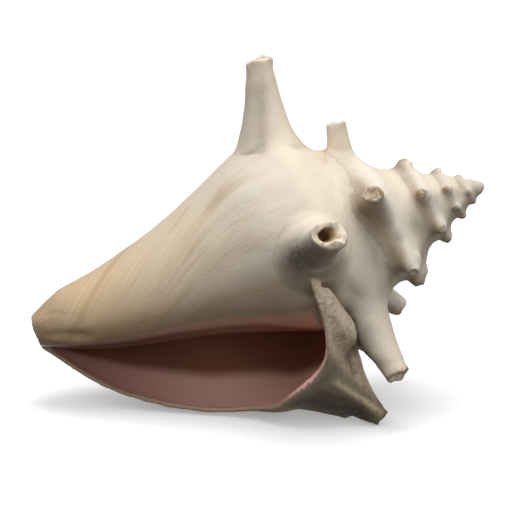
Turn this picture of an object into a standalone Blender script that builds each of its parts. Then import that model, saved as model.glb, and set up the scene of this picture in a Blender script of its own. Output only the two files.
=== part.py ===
"""Milk conch shell, worn and without a flared lip: one solid with its real hollow whorl.

The shell is a helical wall round an axis. Lengths are in millimetres until the mesh is made.
Along the axis, s is measured from the point where the spire's cone would end, towards the canal.
An angle round the axis is counted in turns from the lip's shoulder, negative towards the apex.
"""

import math

import bmesh
import bpy
import numpy as np
from mathutils import Matrix

MM = 0.001

# Driving dimensions
APEX_LEAD = 3.0  # the worn apex lies this far inside the cone's ideal point
CANAL_END = 183.0  # s of the siphonal end
LIP_SHOULDER = 103.7  # s of the shoulder at the lip
WHORL_RATE = 0.485  # growth rate: each turn is exp(0.485) = 1.62 times the last
SHOULDER_SLOPE = 0.555  # shoulder radius over its s
LIP_ANGLE = math.radians(-67.0)  # where the lip's shoulder stands, 0 facing the front
FIRST_TURN = -6.2
SUTURE_SHARE = 0.71  # s of a suture over the s of the shoulder that follows it
SUTURE_RADIUS = 0.345  # radius of a suture over the s of the shoulder
LIP_SUTURE_SHARE = 0.668  # the same two at the lip, which climbs onto the older whorl
LIP_SUTURE_RADIUS = 0.395
SUTURE_TUCK = 0.03  # how far the wall's edge is tucked in there, over the s of the shoulder
LIP_SUTURE_TUCK = 0.10
SOFT_KEEL = 0.05  # how much the shoulder's own edge is rounded off on the last whorl
SOFT_RAMP = 0.03  # how much the ramp below it swells there

# The ramp from suture to shoulder, as shares of its length and of its rise
RAMP_STEPS = np.array([-1.0, -0.9, -0.6, -0.3])
OPEN_RAMP = np.array([0.0, 0.0, 0.333, 0.667])
LIP_RAMP_ALONG = np.array([0.0, 0.0, 0.16, 0.41])
LIP_RAMP_OUT = np.array([0.0, 0.0, 0.33, 0.70])
OLD_CANAL_TURN = -1.1  # before this turn the canal end shrinks with the whorls

# The body's outline from shoulder to canal end: radius over the shoulder's, at four ages
BODY_STEPS = np.array([0.0, 0.15, 0.3, 0.45, 0.6, 0.75, 0.88, 1.0])
BODY_AGES = np.array([-1.06, -0.647, -0.3, 0.0])
BODY_SHAPES = np.array(
    [
        [1.0, 0.92, 0.77, 0.62, 0.52, 0.415, 0.28, 0.10],
        [1.0, 0.89, 0.73, 0.58, 0.465, 0.38, 0.32, 0.18],
        [1.0, 0.915, 0.80, 0.655, 0.54, 0.42, 0.32, 0.17],
        [1.0, 0.945, 0.90, 0.825, 0.705, 0.545, 0.31, 0.03],
    ]
)

# The lip's edge swings round the axis along its length, in degrees from its shoulder
LIP_STEPS = np.array([-1.0, -0.9, -0.6, -0.3, 0.0, 0.12, 0.25, 0.45, 0.6, 0.75, 0.88, 1.0])
LIP_SWING = np.array([52.0, 52.0, 24.0, 8.0, -3.0, -10.0, -15.0, -18.0, -20.0, -22.0, -25.0, -28.0])

# Wall
LIP_WALL = 2.0
BODY_WALL = 4.5
COLUMELLA = 6.0

# Resting pose: the camera's view of the shell, turned so that it stands on a level surface
AXIS_RISE = math.radians(18.8)
VIEW_FALL = math.radians(15.8)
VIEW_ROLL = math.radians(-0.7)
REST_WEAR = 0.5  # depth of the flats worn on the points that carry the shell
THIN_SLACK = 0.15  # unevenness left in those flats by thinning the mesh

ROWS_PER_TURN = 170
RAMP_COLUMNS = 24
BODY_COLUMNS = 60
VOXEL = 0.9
TRIANGLES = 9400

SHELL_COLOUR = (0.78, 0.70, 0.58, 1.0)


# Each spine: turn and x of its foot, s, radius and turn of its tip, tip radius, foot radius, pit
SPINES = (
    (-0.040, -0.32, 68.6, 72.2, -0.036, 3.6, 15.0, 0.5),
    (-0.050, -0.20, 80.5, 65.8, -0.045, 2.6, 10.5, 0.2),
    (-0.215, 0.00, 76.0, 76.5, -0.215, 4.8, 11.5, 0.6),
    (-0.400, 0.00, 72.0, 76.0, -0.400, 4.8, 11.5, 0.6),
    (-0.581, -0.05, 68.9, 73.8, -0.581, 5.2, 12.2, 0.8),
    (-0.828, 0.05, 66.3, 65.0, -0.812, 5.5, 10.5, 5.0),
    (-1.003, 0.00, 57.8, 61.9, -1.003, 4.8, 11.0, 0.6),
    (-1.189, 0.00, 47.2, 48.7, -1.189, 4.1, 8.0, 0.3),
    (-1.390, 0.00, 50.0, 37.0, -1.390, 3.8, 8.5, 0.3),
    (-1.581, 0.05, 48.9, 41.2, -1.581, 4.1, 6.0, 0.3),
    (-1.787, 0.06, 45.6, 39.5, -1.772, 3.5, 7.5, 0.5),
    (-1.940, 0.00, 39.9, 32.0, -1.940, 3.0, 6.5, 0.2),
    (-2.078, 0.00, 38.4, 28.8, -2.078, 2.7, 6.0, 0.2),
    (-2.250, 0.00, 34.0, 26.2, -2.250, 2.5, 5.4, 0.2),
    (-2.420, 0.00, 31.5, 23.0, -2.420, 2.3, 5.0, 0.1),
    (-2.578, 0.00, 29.5, 19.5, -2.578, 2.1, 4.6, 0.1),
    (-2.774, 0.00, 27.7, 19.5, -2.774, 2.0, 4.3, 0.1),
    (-2.929, 0.00, 24.0, 18.0, -2.929, 1.8, 4.0, 0.1),
    (-3.078, 0.00, 22.6, 16.4, -3.078, 1.7, 3.6, 0.1),
    (-3.230, 0.00, 21.2, 14.6, -3.230, 1.6, 3.3, 0.1),
    (-3.400, 0.00, 19.6, 13.2, -3.400, 1.5, 3.1, 0.1),
    (-3.578, 0.00, 19.1, 12.0, -3.578, 1.4, 2.9, 0.1),
    (-3.766, 0.00, 18.2, 11.8, -3.766, 1.3, 2.7, 0.1),
    (-3.900, 0.00, 16.6, 10.5, -3.900, 1.2, 2.5, 0.1),
    (-4.064, 0.00, 14.6, 9.8, -4.064, 1.1, 2.3, 0.1),
    (-4.230, 0.00, 13.4, 8.8, -4.230, 1.0, 2.1, 0.1),
    (-4.400, 0.00, 12.3, 7.9, -4.400, 1.0, 2.0, 0.1),
    (-4.578, 0.00, 11.3, 7.2, -4.578, 0.9, 1.9, 0.1),
    (-4.830, 0.00, 10.0, 6.6, -4.830, 0.9, 1.8, 0.1),
    (-5.064, 0.00, 8.6, 5.8, -5.064, 0.8, 1.6, 0.1),
)
FLARE_POWER = 0.4  # how fast a spine's flank falls away from the tip's radius to the foot's
FLARE_LIMIT = 0.7  # share of a spine's height that the wall itself reaches
TENT_WIDTH = 1.25  # the soft rise round a spine, over its foot radius
TENT_RISE = 0.16  # height of that rise over the spine's height


def smoothstep(x, low, high):
    share = np.clip((x - low) / (high - low), 0.0, 1.0)
    return share * share * (3.0 - 2.0 * share)


def through(x, knots, values):
    """A smooth curve through values, which may have further axes, read at x."""
    knots = np.asarray(knots, float)
    values = np.asarray(values, float)
    slopes = np.gradient(values, knots, axis=0)
    x = np.clip(x, knots[0], knots[-1])
    i = np.clip(np.searchsorted(knots, x, side="right") - 1, 0, len(knots) - 2)
    step = knots[i + 1] - knots[i]
    t = (x - knots[i]) / step
    if values.ndim > 1:
        step, t = step[..., None], t[..., None]
    start, end = values[i], values[i + 1]
    first, last = slopes[i] * step, slopes[i + 1] * step
    return (
        start * (2 * t**3 - 3 * t**2 + 1)
        + first * (t**3 - 2 * t**2 + t)
        + end * (3 * t**2 - 2 * t**3)
        + last * (t**3 - t**2)
    )


def shoulder_s(turn):
    return LIP_SHOULDER * np.exp(WHORL_RATE * turn)


def shoulder_radius(turn):
    return SHOULDER_SLOPE * shoulder_s(turn)


def outer_skin(turn, x):
    """s and radius of the outer skin, x from -1 at the suture by 0 at the shoulder to 1 at the canal."""
    turn, x = np.broadcast_arrays(np.asarray(turn, float), np.asarray(x, float))
    s_shoulder = shoulder_s(turn)
    r_shoulder = shoulder_radius(turn)
    s_end = CANAL_END * np.exp(WHORL_RATE * np.minimum(turn - OLD_CANAL_TURN, 0.0))
    shapes = through(turn, BODY_AGES, BODY_SHAPES)
    climb = smoothstep(turn, -0.2, -0.02) - 0.5 * smoothstep(turn, 0.02, 0.13)
    share = SUTURE_SHARE + (LIP_SUTURE_SHARE - SUTURE_SHARE) * climb
    reach = SUTURE_RADIUS + (LIP_SUTURE_RADIUS - SUTURE_RADIUS) * climb
    tuck = SUTURE_TUCK + (LIP_SUTURE_TUCK - SUTURE_TUCK) * climb
    s_suture = (share * s_shoulder)[..., None]
    r_suture = (reach * s_shoulder)[..., None]
    near_lip = smoothstep(turn, -0.35, 0.05)[..., None]
    full = smoothstep(turn, -1.4, -1.0)[..., None]
    along = (1 - near_lip) * OPEN_RAMP + near_lip * LIP_RAMP_ALONG
    out = (1 - near_lip) * OPEN_RAMP ** (1.45 - 0.6 * full) + near_lip * LIP_RAMP_OUT
    s_ramp = s_suture + (s_shoulder[..., None] - s_suture) * along
    r_ramp = r_suture + (r_shoulder[..., None] - r_suture) * out
    r_ramp[..., 0] -= tuck * s_shoulder
    soft = (full * (1 - near_lip))[..., 0]
    r_ramp[..., 3] *= 1 + SOFT_RAMP * soft
    s_body = s_shoulder[..., None] + (s_end - s_shoulder)[..., None] * BODY_STEPS
    r_body = r_shoulder[..., None] * shapes
    r_body[..., 0] *= 1 - SOFT_KEEL * soft
    s_knots = np.concatenate([s_ramp, s_body], axis=-1)
    r_knots = np.concatenate([r_ramp, r_body], axis=-1)
    count = s_knots.shape[-1]
    knot_x = np.concatenate([RAMP_STEPS, BODY_STEPS])
    place = np.interp(x, knot_x, np.arange(count))
    return catmull(s_knots, place), catmull(r_knots, place)


def catmull(knots, place):
    """Knots along the last axis, read at a place counted in knots."""
    last = knots.shape[-1] - 1
    i = np.clip(np.floor(place).astype(int), 0, last - 1)
    t = place - i
    p0, p1, p2, p3 = (
        np.take_along_axis(knots, np.clip(i + k, 0, last)[..., None], axis=-1)[..., 0]
        for k in (-1, 0, 1, 2)
    )
    return 0.5 * (
        2 * p1
        + (p2 - p0) * t
        + (2 * p0 - 5 * p1 + 4 * p2 - p3) * t**2
        + (3 * p1 - p0 - 3 * p2 + p3) * t**3
    )


def point(turn, s, radius):
    """Local coordinates: X along the axis to the canal, Y to the front, Z up."""
    angle = LIP_ANGLE + 2 * math.pi * np.asarray(turn, float)
    return np.stack(
        np.broadcast_arrays(s, radius * np.cos(angle), radius * np.sin(angle)), axis=-1
    )


def lip_swing(x):
    return through(x, LIP_STEPS, LIP_SWING) / 360.0


def add_grid(bm, points, close_rows=False):
    rows, columns = points.shape[:2]
    verts = [[bm.verts.new(p * MM) for p in row] for row in points]
    last = columns if close_rows else columns - 1
    for i in range(rows - 1):
        for j in range(last):
            k = (j + 1) % columns
            bm.faces.new((verts[i][j], verts[i + 1][j], verts[i + 1][k], verts[i][k]))
    return verts


def spine_axis(spine):
    """Foot on the shoulder, direction and height of a spine."""
    foot = point(spine[0], *outer_skin(spine[0], spine[1]))
    rise = point(spine[4], spine[2], spine[3]) - foot
    height = np.linalg.norm(rise)
    return foot, rise / height, height


def raise_spines(outer, turn):
    """Draws the outer skin out into the spines' flared feet."""
    raised = outer.copy()
    tallest = np.zeros(turn.shape)
    drawn = np.zeros(outer.shape)
    for spine in SPINES:
        foot, rise, height = spine_axis(spine)
        tip_radius, foot_radius = spine[5], spine[6]
        near = np.abs(turn - spine[0]) < 0.3
        offset = outer[near] - foot
        offset -= (offset @ rise)[:, None] * rise
        distance = np.linalg.norm(offset, axis=1)
        flank = np.clip((distance - tip_radius) / (foot_radius - tip_radius), 0.0, 1.0)
        lift = height * np.minimum(1.0 - flank**FLARE_POWER, FLARE_LIMIT)
        tent = height * TENT_RISE * np.exp(-((distance / (TENT_WIDTH * foot_radius)) ** 2))
        fade = 1.0 - smoothstep(np.abs(turn[near] - spine[0]), 0.15, 0.3)
        raised[near] += (tent * fade)[:, None] * rise
        taller = lift > tallest[near]
        tallest[near] = np.where(taller, lift, tallest[near])
        drawn[near] = np.where(taller[:, None], lift[:, None] * rise, drawn[near])
    return raised + drawn


def add_wall(bm):
    """The helical wall as a closed sheet: outer skin, inner skin and the edges between them."""
    x = np.concatenate(
        [np.linspace(-1, 0, RAMP_COLUMNS)[:-1], np.linspace(0, 1, BODY_COLUMNS)]
    )
    rows = int(-FIRST_TURN * ROWS_PER_TURN)
    growth = np.linspace(FIRST_TURN, 0.0, rows)[:, None]
    turn = growth + lip_swing(x)[None, :]
    s, radius = outer_skin(turn, np.broadcast_to(x, turn.shape))
    outer = point(turn, s, radius)
    normal = np.cross(np.gradient(outer, axis=0), np.gradient(outer, axis=1))
    normal /= np.linalg.norm(normal, axis=-1, keepdims=True) + 1e-9
    spoke = outer - point(turn, s, 0.0)
    if np.sum(normal[rows // 2, 10] * spoke[rows // 2, 10]) < 0:
        normal = -normal
    size = np.exp(WHORL_RATE * turn)
    wall = BODY_WALL * np.clip(size, 0.1, 1.0) ** 0.7
    edge = smoothstep(growth, -0.12, 0.0)
    wall = wall * (1 - edge) + LIP_WALL * edge
    inner = outer - normal * wall[..., None]
    outside = add_grid(bm, raise_spines(outer, turn))
    inside = add_grid(bm, inner)
    count = len(x)
    for i in range(rows - 1):
        for j in (0, count - 1):
            bm.faces.new((outside[i][j], outside[i + 1][j], inside[i + 1][j], inside[i][j]))
    for j in range(count - 1):
        for i in (0, rows - 1):
            bm.faces.new((outside[i][j], outside[i][j + 1], inside[i][j + 1], inside[i][j]))


def add_turned(bm, profile, sides=24):
    """A closed body turned round the axis, from (s, radius) pairs."""
    turns = np.arange(sides) / sides
    rings = np.array([point(turns, s, radius) for s, radius in profile])
    verts = add_grid(bm, rings, close_rows=True)
    bm.faces.new(verts[0])
    bm.faces.new(verts[-1])


def add_spine(bm, spine, sides=20):
    """The column inside a spine, from within the wall to its worn, dished tip."""
    foot, rise, height = spine_axis(spine)
    tip_radius, foot_radius, pit = spine[5:]
    across = np.cross(rise, (1.0, 0.0, 0.0))
    across /= np.linalg.norm(across)
    along = np.cross(across, rise)
    around = 2 * math.pi * np.arange(sides) / sides
    circle = np.cos(around)[:, None] * across + np.sin(around)[:, None] * along
    rings = [foot - rise * 0.04 * height + circle * 0.5 * tip_radius]
    for share in (0.1, 0.4, 0.55, 0.7, 0.85, 0.96):
        flare = (1 - max(share, 0.4)) ** (1 / FLARE_POWER)
        radius = tip_radius + (foot_radius - tip_radius) * flare
        rings.append(foot + rise * height * share + circle * radius)
    tip = foot + rise * height
    for share, depth in ((0.86, 0.0), (0.62, 0.0), (0.45, pit * 0.6), (0.2, pit)):
        rings.append(tip - rise * depth + circle * tip_radius * share)
    verts = add_grid(bm, np.array(rings), close_rows=True)
    bm.faces.new(verts[0])
    bm.faces.new(verts[-1])


def loose_shapes():
    bm = bmesh.new()
    add_wall(bm)
    add_turned(
        bm,
        (
            (APEX_LEAD, 1.0),
            (APEX_LEAD + 1.2, 2.2),
            (APEX_LEAD + 6, 4.0),
            (60.0, 20.0),
            (70.0, 20.0),
            (100.0, COLUMELLA + 2),
            (140.0, COLUMELLA),
            (CANAL_END - 12, COLUMELLA),
            (CANAL_END - 3, COLUMELLA * 0.62),
            (CANAL_END, COLUMELLA * 0.33),
        ),
    )
    for spine in SPINES:
        add_spine(bm, spine)
    bmesh.ops.recalc_face_normals(bm, faces=bm.faces)
    mesh = bpy.data.meshes.new("loose_shapes")
    bm.to_mesh(mesh)
    bm.free()
    return mesh


def evaluated_mesh(ob):
    bpy.context.view_layer.update()
    graph = bpy.context.evaluated_depsgraph_get()
    return bpy.data.meshes.new_from_object(ob.evaluated_get(graph), depsgraph=graph)


def drop_sealed_voids(mesh):
    """Keeps the largest closed surface, which is the outside together with the open whorl."""
    bm = bmesh.new()
    bm.from_mesh(mesh)
    unseen = set(bm.verts)
    islands = []
    while unseen:
        stack = [unseen.pop()]
        island = []
        while stack:
            vert = stack.pop()
            island.append(vert)
            for edge in vert.link_edges:
                other = edge.other_vert(vert)
                if other in unseen:
                    unseen.remove(other)
                    stack.append(other)
        islands.append(island)
    islands.sort(key=len)
    for island in islands[:-1]:
        bmesh.ops.delete(bm, geom=island, context="VERTS")
    bm.to_mesh(mesh)
    bm.free()


def resting_turn():
    return (
        Matrix.Rotation(-VIEW_FALL, 4, "X")
        @ Matrix.Rotation(VIEW_ROLL, 4, "Y")
        @ Matrix.Rotation(math.pi, 4, "Z")
        @ Matrix.Rotation(AXIS_RISE, 4, "Y")
    )


def shell_material():
    material = bpy.data.materials.new("shell")
    material.use_nodes = True
    shader = material.node_tree.nodes["Principled BSDF"]
    shader.inputs["Base Color"].default_value = SHELL_COLOUR
    shader.inputs["Roughness"].default_value = 0.45
    shader.inputs["Metallic"].default_value = 0.0
    return material


def wear_flats(mesh, depth):
    """Presses every point less than depth above the lowest one onto one level."""
    at = np.array([v.co for v in mesh.vertices])
    at[:, 2] = np.maximum(at[:, 2], at[:, 2].min() + depth * MM)
    mesh.vertices.foreach_set("co", at.ravel())
    mesh.update()


def centre_on_ground(mesh):
    at = np.array([v.co for v in mesh.vertices])
    middle = (at.min(axis=0) + at.max(axis=0)) / 2
    at -= (middle[0], middle[1], at[:, 2].min())
    mesh.vertices.foreach_set("co", at.ravel())
    mesh.update()


def make_shell(collection):
    shell = bpy.data.objects.new("shell", loose_shapes())
    collection.objects.link(shell)
    remesh = shell.modifiers.new("join", "REMESH")
    remesh.mode = "VOXEL"
    remesh.voxel_size = VOXEL * MM
    shell.data = evaluated_mesh(shell)
    drop_sealed_voids(shell.data)
    shell.modifiers.clear()
    smooth = shell.modifiers.new("wear", "SMOOTH")
    smooth.factor = 0.5
    smooth.iterations = 4
    shell.data = evaluated_mesh(shell)
    shell.modifiers.clear()
    shell.data.transform(resting_turn())
    wear_flats(shell.data, REST_WEAR)
    thin = shell.modifiers.new("thin", "DECIMATE")
    thin.ratio = TRIANGLES / (2 * len(shell.data.polygons))
    shell.data = evaluated_mesh(shell)
    shell.modifiers.clear()
    wear_flats(shell.data, THIN_SLACK)
    centre_on_ground(shell.data)
    shell.data.materials.clear()
    shell.data.materials.append(shell_material())
    return shell


def main():
    for ob in list(bpy.data.objects):
        bpy.data.objects.remove(ob)
    collection = bpy.data.collections.new("milk_conch_shell")
    bpy.context.scene.collection.children.link(collection)
    make_shell(collection)


main()
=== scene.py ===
"""Looks of the milk conch shell.

The CAD's helical wall is built again, finer, with its surface, the floor, the lights and the camera.
Lengths are in millimetres until a mesh is made. Along the axis, s is measured from the point where
the spire's cone would end, towards the canal. An angle round the axis is counted in turns from the
lip's shoulder, negative towards the apex. On the wall, x runs from -1 at the suture by 0 at the
shoulder to 1 at the canal.
"""

import itertools
import math
from collections import namedtuple

import bmesh
import bpy
import numpy as np
from mathutils import Matrix, Vector, kdtree


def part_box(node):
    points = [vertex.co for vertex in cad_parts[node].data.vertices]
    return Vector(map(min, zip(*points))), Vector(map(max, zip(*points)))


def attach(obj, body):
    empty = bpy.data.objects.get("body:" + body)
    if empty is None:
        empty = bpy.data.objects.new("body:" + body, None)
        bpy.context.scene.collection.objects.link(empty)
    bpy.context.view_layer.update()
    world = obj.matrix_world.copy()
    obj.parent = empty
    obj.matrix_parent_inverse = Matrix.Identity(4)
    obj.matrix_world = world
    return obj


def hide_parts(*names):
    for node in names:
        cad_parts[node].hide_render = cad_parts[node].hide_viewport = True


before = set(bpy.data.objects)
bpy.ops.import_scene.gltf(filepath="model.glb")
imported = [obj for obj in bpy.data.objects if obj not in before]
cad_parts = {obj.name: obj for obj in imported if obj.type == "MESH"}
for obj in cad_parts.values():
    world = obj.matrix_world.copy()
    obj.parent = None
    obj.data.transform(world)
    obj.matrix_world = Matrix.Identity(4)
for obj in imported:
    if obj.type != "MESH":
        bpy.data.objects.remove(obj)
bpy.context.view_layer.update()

MM = 0.001

# The wall's driving dimensions, the same as the CAD's
APEX_LEAD = 3.0
CANAL_END = 183.0
LIP_SHOULDER = 103.7
WHORL_RATE = 0.485
SHOULDER_SLOPE = 0.555
LIP_ANGLE = math.radians(-67.0)
FIRST_TURN = -6.2
SUTURE_SHARE = 0.71
SUTURE_RADIUS = 0.345
LIP_SUTURE_SHARE = 0.668
LIP_SUTURE_RADIUS = 0.395
SUTURE_TUCK = 0.03
LIP_SUTURE_TUCK = 0.10
SOFT_KEEL = 0.05
SOFT_RAMP = 0.03
FLAT_KEEL = 1.5  # how much softer the keel is on the spire's upper front, between its nodules

RAMP_STEPS = np.array([-1.0, -0.9, -0.6, -0.3])
OPEN_RAMP = np.array([0.0, 0.0, 0.333, 0.667])
LIP_RAMP_ALONG = np.array([0.0, 0.0, 0.16, 0.41])
LIP_RAMP_OUT = np.array([0.0, 0.0, 0.33, 0.70])
OLD_CANAL_TURN = -1.1

BODY_STEPS = np.array([0.0, 0.15, 0.3, 0.45, 0.6, 0.75, 0.88, 1.0])
BODY_AGES = np.array([-1.06, -0.647, -0.3, 0.0])
BODY_SHAPES = np.array(
    [
        [1.0, 0.92, 0.77, 0.62, 0.52, 0.415, 0.28, 0.10],
        [1.0, 0.89, 0.73, 0.58, 0.465, 0.38, 0.32, 0.18],
        [1.0, 0.915, 0.80, 0.655, 0.54, 0.42, 0.32, 0.17],
        [1.0, 0.945, 0.90, 0.825, 0.705, 0.545, 0.31, 0.03],
    ]
)

LIP_STEPS = np.array([-1.0, -0.9, -0.6, -0.3, 0.0, 0.12, 0.25, 0.45, 0.6, 0.75, 0.88, 1.0])
LIP_SWING = np.array([52.0, 52.0, 24.0, 8.0, -3.0, -10.0, -15.0, -18.0, -20.0, -22.0, -25.0, -28.0])

LIP_WALL = 1.7
LIP_TAPER = 0.12  # turns over which the wall thins towards the lip
BODY_WALL = 4.5
WALL_GROWTH = 0.7  # the power of a whorl's size that its wall's thickness follows
COLUMELLA = 6.0

AXIS_RISE = math.radians(18.8)
VIEW_FALL = math.radians(15.8)
VIEW_ROLL = math.radians(-0.7)
REST_WEAR = 0.5

ROWS_PER_TURN = 200
RAMP_COLUMNS = 30
BODY_COLUMNS = 70
VOXEL = 0.66
TRIANGLES = 190000

# Where a spine's foot and its tip are, how thick it is at both, and how deep its tip is dished
Spine = namedtuple("Spine", "turn x tip_s tip_distance tip_turn tip_radius foot_radius pit")
SPINE_ROWS = (
    (-0.040, -0.32, 68.6, 72.2, -0.036, 3.6, 15.0, 1.0),
    (-0.050, -0.20, 80.5, 65.8, -0.045, 2.6, 10.5, 0.4),
    (-0.215, 0.00, 76.0, 76.5, -0.215, 4.8, 11.5, 1.5),
    (-0.400, 0.00, 72.0, 76.0, -0.400, 4.8, 11.5, 1.5),
    (-0.581, -0.05, 68.9, 73.8, -0.581, 5.2, 12.2, 1.2),
    (-0.828, 0.05, 66.3, 65.0, -0.812, 5.5, 10.5, 9.0),
    (-1.003, 0.00, 57.8, 61.9, -1.003, 4.8, 11.0, 2.0),
    (-1.189, 0.00, 47.2, 48.7, -1.189, 4.1, 8.0, 0.8),
    (-1.390, 0.00, 50.0, 37.0, -1.390, 3.8, 8.5, 0.8),
    (-1.581, 0.05, 48.9, 41.2, -1.581, 4.1, 6.0, 1.0),
    (-1.787, 0.06, 45.6, 39.5, -1.772, 3.5, 7.5, 1.6),
    (-1.940, 0.00, 39.9, 32.0, -1.940, 3.0, 6.5, 0.5),
    (-2.078, 0.00, 38.4, 28.8, -2.078, 2.7, 6.0, 0.4),
    (-2.250, 0.00, 34.0, 26.2, -2.250, 2.5, 5.4, 0.4),
    (-2.420, 0.00, 31.5, 23.0, -2.420, 2.3, 5.0, 0.2),
    (-2.578, 0.00, 29.5, 19.5, -2.578, 2.1, 4.6, 0.2),
    (-2.774, 0.00, 27.7, 19.5, -2.774, 2.0, 4.3, 0.2),
    (-2.929, 0.00, 24.0, 18.0, -2.929, 1.8, 4.0, 0.2),
    (-3.078, 0.00, 22.6, 16.4, -3.078, 1.7, 3.6, 0.2),
    (-3.230, 0.00, 21.2, 14.6, -3.230, 1.6, 3.3, 0.1),
    (-3.400, 0.00, 19.6, 13.2, -3.400, 1.5, 3.1, 0.1),
    (-3.578, 0.00, 19.1, 12.0, -3.578, 1.4, 2.9, 0.1),
    (-3.766, 0.00, 18.2, 11.8, -3.766, 1.3, 2.7, 0.1),
    (-3.900, 0.00, 16.6, 10.5, -3.900, 1.2, 2.5, 0.1),
    (-4.064, 0.00, 14.6, 9.8, -4.064, 1.1, 2.3, 0.1),
    (-4.230, 0.00, 13.4, 8.8, -4.230, 1.0, 2.1, 0.1),
    (-4.400, 0.00, 12.3, 7.9, -4.400, 1.0, 2.0, 0.1),
    (-4.578, 0.00, 11.3, 7.2, -4.578, 0.9, 1.9, 0.1),
    (-4.830, 0.00, 10.0, 6.6, -4.830, 0.9, 1.8, 0.1),
    (-5.064, 0.00, 8.6, 5.8, -5.064, 0.8, 1.6, 0.1),
)
SPINES = tuple(Spine(*row) for row in SPINE_ROWS)

# Spines that broke off aslant, by their turn, in tip radii: how their rim rises, how far their
# hollow lies off the middle, and how their rim is drawn out
BROKEN_TIPS = {
    -0.828: ((-0.30, 0.0, -0.35), (0.24, 0.0, 0.18), (-0.16, 0.0, -0.12)),
    -0.581: ((-0.30, 0.0, 0.0), (0.0, 0.0, 0.0), (0.0, 0.0, 0.0)),
    -1.787: ((-0.30, 0.0, -0.20), (0.10, 0.0, 0.10), (-0.10, 0.0, -0.04)),
}
WHOLE_TIP = ((0.0, 0.0, 0.0),) * 3
OPEN_PIT = 2.5  # a spine with a pit deeper than this is an open tube
BROWN_TIP = -1.78  # the turn of the spine with a brown tip

# A spine's column: where along it rings stand, and where its rim and dish are in tip radii
COLUMN_ROOT = 0.04
COLUMN_SHARES = (0.1, 0.4, 0.48, 0.55, 0.62, 0.7, 0.78, 0.85, 0.92, 0.96)
COLUMN_STRAIGHT = 0.4
RIM_SHARE = 0.93
DISH = ((0.78, 0.0), (0.60, 0.35), (0.48, 0.7), (0.25, 1.0))
OPEN_NARROW = 0.72
OPEN_ROUGH = 1.6

# A spine's foot: a steep flare that ends below the dish, on a low wide mound
FLARE_POWER = 0.4
FLARE_LIMIT = 0.7
DISH_LIMIT = 0.8
DISH_ROOM = 1.6
TENT_WIDTH = 1.25
TENT_RISE = 0.16
FOOT_TURNS = (0.15, 0.3)
# Spines whose feet end softly, and how much wider those are
SOFT_FEET = (-0.828, -1.787)
SOFT_FOOT_BREADTH = 1.35
# The spire's nodules are folds: broader at the foot and finer at the tip
NODULE_TURNS = (-1.82, -1.92)
NODULE_POWER = 0.65
NODULE_BREADTH = 0.25
NODULE_POINT = 0.25

# The core that the wall winds round, as s and radius
CORE = (
    (APEX_LEAD, 1.0),
    (APEX_LEAD + 1.2, 2.2),
    (APEX_LEAD + 6, 4.0),
    (60.0, 20.0),
    (70.0, 20.0),
    (100.0, COLUMELLA + 2),
    (140.0, COLUMELLA),
    (CANAL_END - 12, COLUMELLA),
    (CANAL_END - 3, COLUMELLA * 0.62),
    (CANAL_END, COLUMELLA * 0.33),
)

LIP_BAND = 3.2  # how far the lip's upper edge stands proud of the older whorl

# Passes of averaging that fill the spire's sutures
SUTURE_PASSES = (90, 90, 60, 40, 20)

# The ridge under the lip, where dirt is rubbed off
RUBBED_LINE = ((30.3, -40.0, 17.6), (36.0, -38.4, 13.2), (42.2, -37.7, 9.1), (46.8, -37.6, 5.5))
RUBBED_WIDTH = 1.5
# Marks on the standing shell: a line of points, its width, and how far it stands out
MARKS = (
    (((34.9, -34.4, 39.8), (36.6, -33.1, 30.4), (37.1, -31.8, 24.1), (37.9, -34.6, 19.1)), 1.7, -1.6),
    (RUBBED_LINE, 1.8, 1.7),
    (((24.0, -40.0, 12.0), (31.0, -38.5, 10.0), (38.0, -37.0, 6.5)), 2.6, -1.0),
    (((-82.5, -19.0, 33.0), (-80.5, -21.0, 31.5)), 3.2, 1.0),
    (((-79.2, -22.2, 27.6), (-72.0, -23.6, 27.0), (-63.0, -24.3, 27.0)), 2.0, 0.8),
    (((-80.0, -22.5, 29.8), (-75.0, -24.2, 30.6), (-65.0, -25.3, 31.0)), 1.6, -0.6),
    (
        ((-79.5, -20.0, 37.4), (-77.0, -21.6, 38.8), (-74.5, -23.0, 38.6), (-69.0, -25.3, 38.9)),
        0.8,
        -0.5,
    ),
)
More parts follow.
